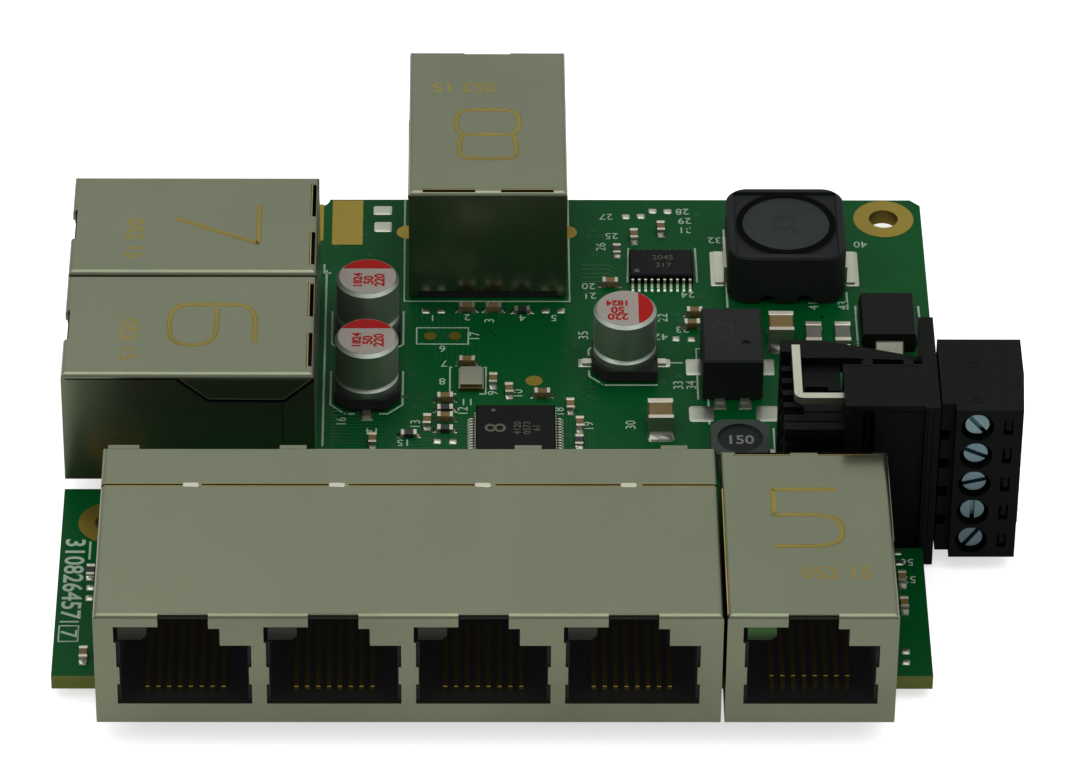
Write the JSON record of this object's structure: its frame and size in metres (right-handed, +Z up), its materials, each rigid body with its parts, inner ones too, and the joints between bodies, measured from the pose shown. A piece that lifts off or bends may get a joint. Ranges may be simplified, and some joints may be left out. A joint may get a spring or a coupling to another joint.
{
  "type": "ethernet switch module",
  "caption": "Open circuit board network switch with shielded sockets along its edges and a pluggable screw terminal block for power.",
  "frame": {"origin": "middle of the whole outline, at the tips of the solder tails below the board", "axes": "+X to the right along the row of front sockets, towards the screw terminals; +Y to the back; +Z up from the component side"},
  "size_m": [0.093, 0.0904, 0.0199],
  "materials": {
    "board": "satin solder mask",
    "shield": "satin plated sheet",
    "black_moulding": "fine matt",
    "grey_moulding": "matt",
    "gold_plate": "bright",
    "tin_plate": "satin",
    "grey_light": "milky",
    "green_light": "milky",
    "can": "bright drawn",
    "ferrite": "dull",
    "package": "fine matt",
    "lid_metal": "satin",
    "ceramic": "satin",
    "resistor": "satin",
    "terminal_moulding": "fine matt",
    "screw": "zinc plated",
    "clamp": "plated"
  },
  "bodies": {
    "module": {"circuit_board": "board", "gang_shield": "shield", "gang_rear_cover": "shield", "gang_housing": "black_moulding", "gang_inserts": "grey_moulding", "gang_contacts": "gold_plate", "gang_lights": "grey_light", "jack_pins": "tin_plate", "front_jack_shield": "shield", "front_jack_housing": "black_moulding", "front_jack_insert": "grey_moulding", "front_jack_contacts": "gold_plate", "front_jack_light": "green_light", "left_front_jack_shield": "shield", "left_front_jack_housing": "black_moulding", "left_front_jack_insert": "grey_moulding", "left_front_jack_contacts": "gold_plate", "left_front_jack_light": "green_light", "left_rear_jack_shield": "shield", "left_rear_jack_housing": "black_moulding", "left_rear_jack_insert": "grey_moulding", "left_rear_jack_contacts": "gold_plate", "left_rear_jack_light": "green_light", "rear_jack_shield": "shield", "rear_jack_housing": "black_moulding", "rear_jack_insert": "grey_moulding", "rear_jack_contacts": "gold_plate", "rear_jack_light": "green_light", "capacitor_can_rear": "can", "capacitor_base_rear": "black_moulding", "capacitor_can_middle": "can", "capacitor_base_middle": "black_moulding", "capacitor_can_right": "can", "capacitor_base_right": "black_moulding", "power_inductor_case": "ferrite", "power_inductor_core": "ferrite", "line_choke": "ferrite", "small_inductor": "ferrite", "rectifier_diode": "package", "component_terminals": "tin_plate", "regulator_chip": "package", "switch_chip": "package", "chip_leads": "tin_plate", "clock_crystal": "lid_metal", "ceramic_capacitors": "ceramic", "chip_resistors": "resistor", "header_body": "terminal_moulding", "header_posts": "tin_plate"},
    "plug": {"plug_body": "terminal_moulding", "plug_sockets": "tin_plate"},
    "screw_1": {"terminal_screw_1": "screw"},
    "clamp_1": {"wire_clamp_1": "clamp"},
    "screw_2": {"terminal_screw_2": "screw"},
    "clamp_2": {"wire_clamp_2": "clamp"},
    "screw_3": {"terminal_screw_3": "screw"},
    "clamp_3": {"wire_clamp_3": "clamp"},
    "screw_4": {"terminal_screw_4": "screw"},
    "clamp_4": {"wire_clamp_4": "clamp"},
    "screw_5": {"terminal_screw_5": "screw"},
    "clamp_5": {"wire_clamp_5": "clamp"}
  },
  "joints": [
    {"name": "plug_pull", "type": "slide", "parent": "module", "child": "plug", "axis": [1, 0, 0], "range_m": [0, 0.009]},
    {"name": "screw_1_turn", "type": "hinge", "parent": "plug", "child": "screw_1", "pos_m": [0.04185, -0.0184, 0.0038], "axis": [0, 1, 0], "range_deg": [0, 1262]},
    {"name": "clamp_1_lift", "type": "slide", "parent": "plug", "child": "clamp_1", "axis": [0, -1, 0], "range_m": [0, 0.0014]},
    {"name": "screw_2_turn", "type": "hinge", "parent": "plug", "child": "screw_2", "pos_m": [0.04185, -0.0184, 0.0073], "axis": [0, 1, 0], "range_deg": [0, 1262]},
    {"name": "clamp_2_lift", "type": "slide", "parent": "plug", "child": "clamp_2", "axis": [0, -1, 0], "range_m": [0, 0.0014]},
    {"name": "screw_3_turn", "type": "hinge", "parent": "plug", "child": "screw_3", "pos_m": [0.04185, -0.0184, 0.0108], "axis": [0, 1, 0], "range_deg": [0, 1262]},
    {"name": "clamp_3_lift", "type": "slide", "parent": "plug", "child": "clamp_3", "axis": [0, -1, 0], "range_m": [0, 0.0014]},
    {"name": "screw_4_turn", "type": "hinge", "parent": "plug", "child": "screw_4", "pos_m": [0.04185, -0.0184, 0.0143], "axis": [0, 1, 0], "range_deg": [0, 1262]},
    {"name": "clamp_4_lift", "type": "slide", "parent": "plug", "child": "clamp_4", "axis": [0, -1, 0], "range_m": [0, 0.0014]},
    {"name": "screw_5_turn", "type": "hinge", "parent": "plug", "child": "screw_5", "pos_m": [0.04185, -0.0184, 0.0178], "axis": [0, 1, 0], "range_deg": [0, 1262]},
    {"name": "clamp_5_lift", "type": "slide", "parent": "plug", "child": "clamp_5", "axis": [0, -1, 0], "range_m": [0, 0.0014]}
  ],
  "couplings": [
    {"joint": "screw_1_turn", "follows": "clamp_1_lift", "rad_per_m": 15708},
    {"joint": "screw_2_turn", "follows": "clamp_2_lift", "rad_per_m": 15708},
    {"joint": "screw_3_turn", "follows": "clamp_3_lift", "rad_per_m": 15708},
    {"joint": "screw_4_turn", "follows": "clamp_4_lift", "rad_per_m": 15708},
    {"joint": "screw_5_turn", "follows": "clamp_5_lift", "rad_per_m": 15708}
  ]
}
